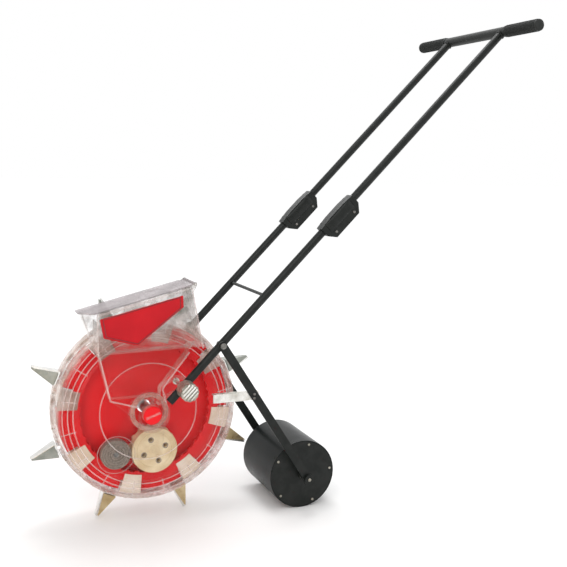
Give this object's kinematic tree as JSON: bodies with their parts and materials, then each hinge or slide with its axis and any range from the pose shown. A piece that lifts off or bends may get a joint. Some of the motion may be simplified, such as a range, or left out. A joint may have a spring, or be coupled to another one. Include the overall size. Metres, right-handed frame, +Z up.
{
  "type": "hand-push dibble-wheel seeder",
  "caption": "Hand-push rolling seeder: clear hopper over a clear drum with hinged planting bills, geared seed metering, tubular push handle and press roller.",
  "frame": {"origin": "middle of the bounding box, on the ground", "axes": "+X back towards the handle, +Y to the right hand seen from behind the drum's travel, +Z up"},
  "size_m": [1.1404, 0.5052, 1.1796],
  "materials": {
    "black": "satin",
    "rubber": "matte",
    "zinc": "satin",
    "clear": "clear",
    "red": "gloss",
    "cream": "matte",
    "brush": "matte"
  },
  "bodies": {
    "frame": {"lower_tube_left": "black", "lower_tube_right": "black", "upper_tube_left": "black", "upper_tube_right": "black", "roller_arm_left": "black", "roller_arm_right": "black", "splice_left_outer": "black", "splice_left_inner": "black", "splice_right_outer": "black", "splice_right_inner": "black", "grip_left": "rubber", "grip_right": "rubber", "arm_bolt_left": "zinc", "arm_bolt_right": "zinc", "knob_stud_left": "zinc", "knob_stud_right": "zinc", "handlebar": "black", "stay_rod": "black", "scraper": "zinc", "roller_axle": "zinc", "hopper": "clear", "lid_hinge_pin": "zinc", "side_bracket_right": "clear", "axle": "zinc", "hub_cap": "red", "meter_shaft": "zinc", "brush_shaft": "zinc", "feed_plate": "clear", "label_panel": "red"},
    "lid": {"hopper_lid": "clear"},
    "knob_l": {"knob_left": "zinc"},
    "knob_r": {"knob_right": "zinc"},
    "drum": {"drum_shell_left": "clear", "drum_shell_right": "clear", "seed_divider": "red", "ring_gear": "cream", "bearing_left": "zinc", "bearing_right": "zinc", "bill_body_1": "zinc", "bill_body_2": "zinc", "bill_body_3": "zinc", "bill_body_4": "zinc", "bill_body_5": "zinc", "bill_body_6": "zinc", "bill_body_7": "zinc", "bill_body_8": "zinc"},
    "metering": {"metering_roller": "cream"},
    "brush": {"brush_roller": "brush"},
    "roller": {"roller_shell": "black", "roller_cap_left": "black", "roller_cap_right": "black"},
    "flap_1": {"bill_flap_1": "zinc"},
    "flap_2": {"bill_flap_2": "zinc"},
    "flap_3": {"bill_flap_3": "zinc"},
    "flap_4": {"bill_flap_4": "zinc"},
    "flap_5": {"bill_flap_5": "zinc"},
    "flap_6": {"bill_flap_6": "zinc"},
    "flap_7": {"bill_flap_7": "zinc"},
    "flap_8": {"bill_flap_8": "zinc"}
  },
  "joints": [
    {"name": "drum_spin", "type": "hinge", "parent": "frame", "child": "drum", "pos_m": [-0.31045, 0, 0.25978], "axis": [0, -1, 0], "continuous": true},
    {"name": "meter_spin", "type": "hinge", "parent": "frame", "child": "metering", "pos_m": [-0.29476, 0, 0.16366], "axis": [0, -1, 0], "continuous": true},
    {"name": "brush_spin", "type": "hinge", "parent": "frame", "child": "brush", "pos_m": [-0.38468, 0, 0.16216], "axis": [0, -1, 0], "continuous": true},
    {"name": "roller_spin", "type": "hinge", "parent": "frame", "child": "roller", "pos_m": [0.05785, 0, 0.0836], "axis": [0, -1, 0], "continuous": true},
    {"name": "knob_left_turn", "type": "hinge", "parent": "frame", "child": "knob_l", "pos_m": [-0.25217, 0, 0.33142], "axis": [0, -1, 0], "continuous": true},
    {"name": "knob_right_turn", "type": "hinge", "parent": "frame", "child": "knob_r", "pos_m": [-0.25217, 0, 0.33142], "axis": [0, -1, 0], "continuous": true},
    {"name": "lid_open", "type": "hinge", "parent": "frame", "child": "lid", "pos_m": [-0.22271, 0, 0.56083], "axis": [0, 1, 0], "range_deg": [0, 100]},
    {"name": "flap_1_open", "type": "hinge", "parent": "drum", "child": "flap_1", "pos_m": [-0.11098, 0.012, 0.35702], "axis": [0, -1, 0], "range_deg": [0, 22], "stiffness_Nm_per_rad": 0.6, "springref_deg": -20.05},
    {"name": "flap_2_open", "type": "hinge", "parent": "drum", "child": "flap_2", "pos_m": [-0.23816, 0.012, 0.46959], "axis": [0, -1, 0], "range_deg": [0, 22], "stiffness_Nm_per_rad": 0.6, "springref_deg": -20.05},
    {"name": "flap_3_open", "type": "hinge", "parent": "drum", "child": "flap_3", "pos_m": [-0.40769, 0.012, 0.45925], "axis": [0, -1, 0], "range_deg": [0, 22], "stiffness_Nm_per_rad": 0.6, "springref_deg": -20.05},
    {"name": "flap_4_open", "type": "hinge", "parent": "drum", "child": "flap_4", "pos_m": [-0.52026, 0.012, 0.33207], "axis": [0, -1, 0], "range_deg": [0, 22], "stiffness_Nm_per_rad": 0.6, "springref_deg": -20.05},
    {"name": "flap_5_open", "type": "hinge", "parent": "drum", "child": "flap_5", "pos_m": [-0.50992, 0.012, 0.16254], "axis": [0, -1, 0], "range_deg": [0, 22], "stiffness_Nm_per_rad": 0.6, "springref_deg": -20.05},
    {"name": "flap_6_open", "type": "hinge", "parent": "drum", "child": "flap_6", "pos_m": [-0.38274, 0.012, 0.04998], "axis": [0, -1, 0], "range_deg": [0, 22], "stiffness_Nm_per_rad": 0.6, "springref_deg": -20.05},
    {"name": "flap_7_open", "type": "hinge", "parent": "drum", "child": "flap_7", "pos_m": [-0.21321, 0.012, 0.06031], "axis": [0, -1, 0], "range_deg": [0, 22], "stiffness_Nm_per_rad": 0.6, "springref_deg": -20.05},
    {"name": "flap_8_open", "type": "hinge", "parent": "drum", "child": "flap_8", "pos_m": [-0.10064, 0.012, 0.18749], "axis": [0, -1, 0], "range_deg": [0, 22], "stiffness_Nm_per_rad": 0.6, "springref_deg": -20.05}
  ],
  "couplings": [
    {"joint": "meter_spin", "follows": "drum_spin", "ratio": 2.8},
    {"joint": "brush_spin", "follows": "drum_spin", "ratio": 5.25}
  ]
}
